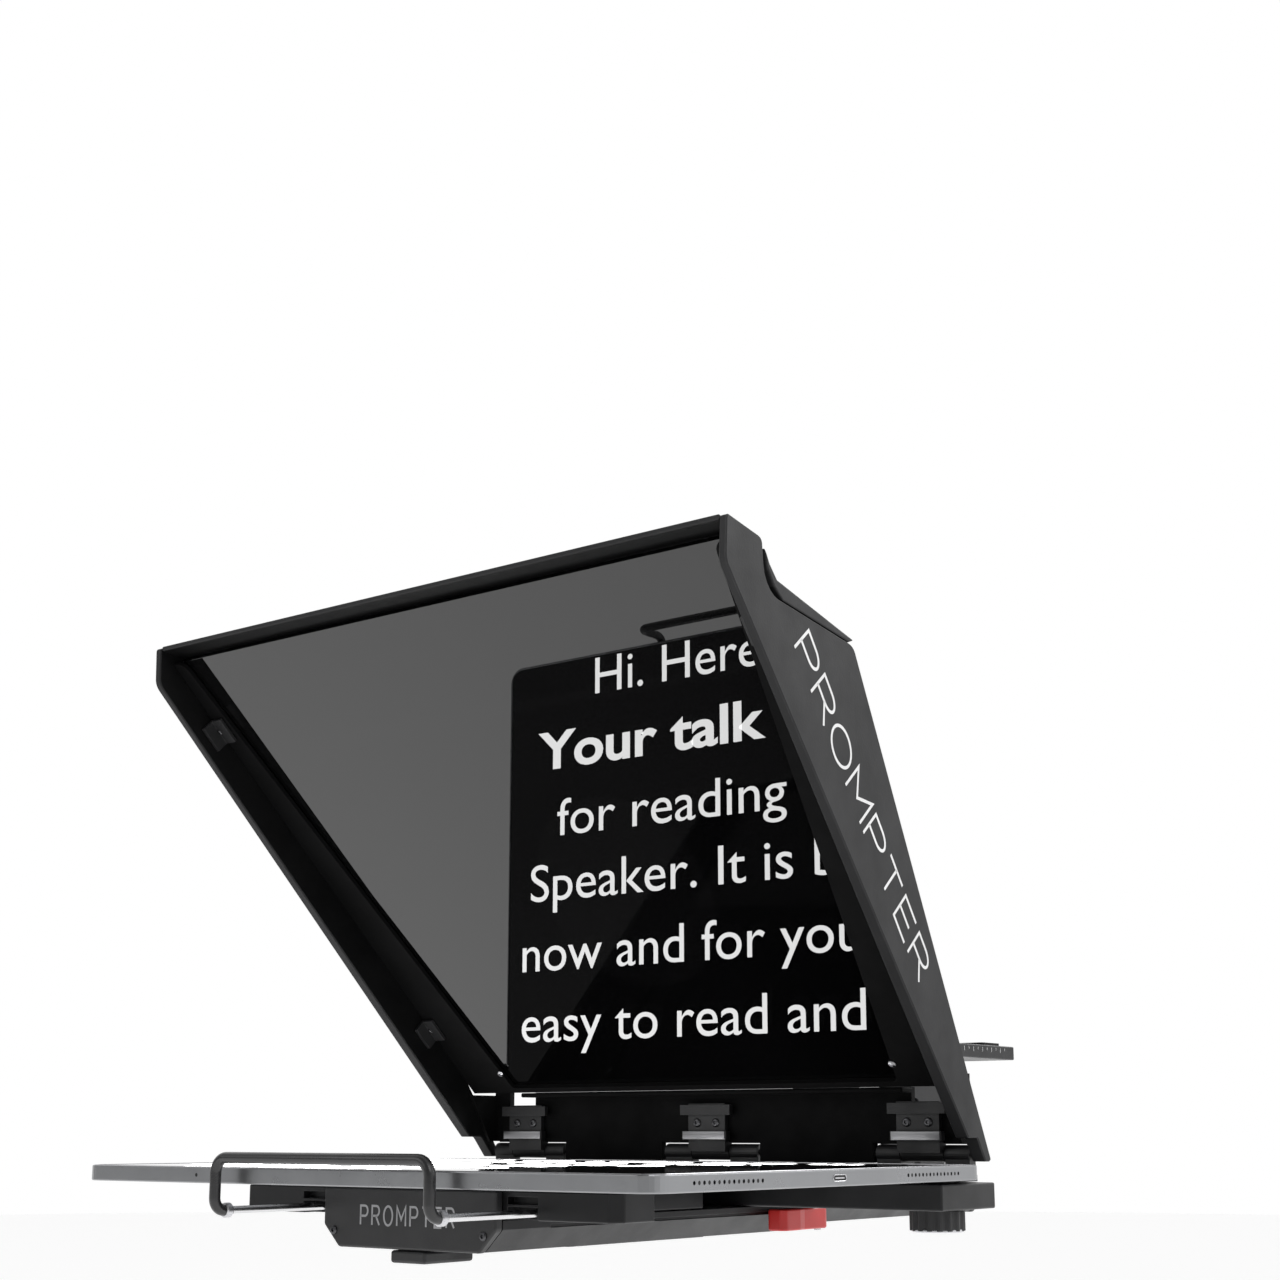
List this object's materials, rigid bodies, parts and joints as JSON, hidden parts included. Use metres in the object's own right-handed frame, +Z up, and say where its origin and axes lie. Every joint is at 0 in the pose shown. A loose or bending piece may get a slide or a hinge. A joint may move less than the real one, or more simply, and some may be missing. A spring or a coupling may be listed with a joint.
{
  "type": "teleprompter",
  "caption": "Tablet teleprompter: a slanted beam-splitter mirror in a folding hood above a tablet on a tray, on a sled with a camera plate behind",
  "frame": {"origin": "middle of the tripod plate's underside", "axes": "+X right as the talent sees it, +Y from the talent towards the camera, +Z up"},
  "size_m": [0.2988, 0.4749, 0.2508],
  "materials": {
    "black_anodised": "black anodised, satin",
    "hood_sheet": "matte dark grey",
    "hood_inside_black": "dead matte black",
    "black_plastic": "satin black",
    "coated_wire": "satin black coating",
    "bright_steel": "bright",
    "rubber": "matte",
    "red_plastic": "satin red",
    "tablet_aluminium": "fine blasted, anodised",
    "tablet_screen_glass": "polished",
    "beam_splitter_glass": "half-silvered, polished"
  },
  "bodies": {
    "base": {"sled_rail": "black_anodised", "tripod_plate": "black_anodised", "tray_front_arm": "black_anodised", "tray_spine": "black_anodised", "rear_crossbar": "black_anodised", "camera_riser": "black_anodised", "camera_cradle": "black_anodised", "front_end_cap": "black_plastic", "rear_end_cap": "black_plastic", "front_foot_block": "black_plastic", "tripod_screw_front": "bright_steel", "tripod_screw_rear": "bright_steel", "front_pad": "rubber", "rear_pad": "rubber", "rear_stop_left": "rubber", "rear_stop_right": "rubber", "release_lever_pin": "bright_steel", "tablet_body": "tablet_aluminium", "tablet_glass": "tablet_screen_glass", "hinge_base_left": "black_plastic", "hinge_pin_left": "bright_steel", "hinge_base_centre": "black_plastic", "hinge_pin_centre": "bright_steel", "hinge_base_right": "black_plastic", "hinge_pin_right": "bright_steel"},
    "hood": {"side_panel_left": "hood_sheet", "side_panel_right": "hood_sheet", "hood_roof": "hood_sheet", "hood_top_cover": "hood_sheet", "hood_rear_cover": "hood_inside_black", "lens_seal": "rubber", "mirror_frame": "hood_inside_black", "mirror_glass": "beam_splitter_glass", "mirror_sill": "black_plastic", "lower_panel": "black_plastic", "hinge_leaf_left": "black_plastic", "hinge_leaf_centre": "black_plastic", "hinge_leaf_right": "black_plastic", "panel_bracket_left_upper": "black_plastic", "panel_bracket_left_lower": "black_plastic", "panel_bracket_right_upper": "black_plastic", "panel_bracket_right_lower": "black_plastic"},
    "bracket": {"bracket_loop": "coated_wire", "bracket_rod_left": "bright_steel", "bracket_rod_right": "bright_steel", "bracket_stop_left": "black_plastic", "bracket_stop_right": "black_plastic"},
    "lever": {"release_lever": "red_plastic"},
    "clamp_left": {"clamp_knob_left": "black_plastic"},
    "clamp_right": {"clamp_knob_right": "black_plastic"},
    "camera_slide": {"camera_plate": "black_anodised", "camera_pad_front": "rubber", "camera_pad_rear": "rubber"},
    "screw_washer": {"camera_screw_washer": "bright_steel"},
    "screw": {"camera_screw": "bright_steel"},
    "cradle_lock": {"cradle_lock_knob": "black_plastic"},
    "power_key": {"power_button": "tablet_aluminium"},
    "volume_up_key": {"volume_up_button": "tablet_aluminium"},
    "volume_down_key": {"volume_down_button": "tablet_aluminium"}
  },
  "joints": [
    {"name": "hood_fold", "type": "hinge", "parent": "base", "child": "hood", "pos_m": [0, 0.088, 0.034], "axis": [1, 0, 0], "range_deg": [0, 28]},
    {"name": "bracket_slide", "type": "slide", "parent": "base", "child": "bracket", "axis": [0, -1, 0], "range_m": [0, 0.035]},
    {"name": "release_lever_turn", "type": "hinge", "parent": "base", "child": "lever", "pos_m": [0.0475, 0.097, 0.007], "axis": [0, 0, 1], "range_deg": [0, 60]},
    {"name": "clamp_knob_left_turn", "type": "hinge", "parent": "base", "child": "clamp_left", "pos_m": [-0.12, 0.071, 0.01], "axis": [0, 0, 1], "range_deg": [0, 360]},
    {"name": "clamp_knob_right_turn", "type": "hinge", "parent": "base", "child": "clamp_right", "pos_m": [0.12, 0.071, 0.01], "axis": [0, 0, 1], "range_deg": [0, 360]},
    {"name": "camera_plate_slide", "type": "slide", "parent": "base", "child": "camera_slide", "axis": [0, 1, 0], "range_m": [-0.04, 0.03]},
    {"name": "screw_slot_slide", "type": "slide", "parent": "camera_slide", "child": "screw_washer", "axis": [0, 1, 0], "range_m": [-0.034, 0.034]},
    {"name": "camera_screw_turn", "type": "hinge", "parent": "screw_washer", "child": "screw", "pos_m": [0, 0.256, 0.077], "axis": [0, 0, 1], "range_deg": [-360, 360]},
    {"name": "cradle_lock_turn", "type": "hinge", "parent": "base", "child": "cradle_lock", "pos_m": [-0.0313, 0.221, 0.0768], "axis": [1, 0, 0], "range_deg": [0, 270]},
    {"name": "power_button_travel", "type": "slide", "parent": "base", "child": "power_key", "axis": [1, 0, 0], "range_m": [0, 0.0004], "stiffness_N_per_m": 1500, "springref_m": -0.0002},
    {"name": "volume_up_travel", "type": "slide", "parent": "base", "child": "volume_up_key", "axis": [0, -1, 0], "range_m": [0, 0.0004], "stiffness_N_per_m": 1500, "springref_m": -0.0002},
    {"name": "volume_down_travel", "type": "slide", "parent": "base", "child": "volume_down_key", "axis": [0, -1, 0], "range_m": [0, 0.0004], "stiffness_N_per_m": 1500, "springref_m": -0.0002}
  ]
}
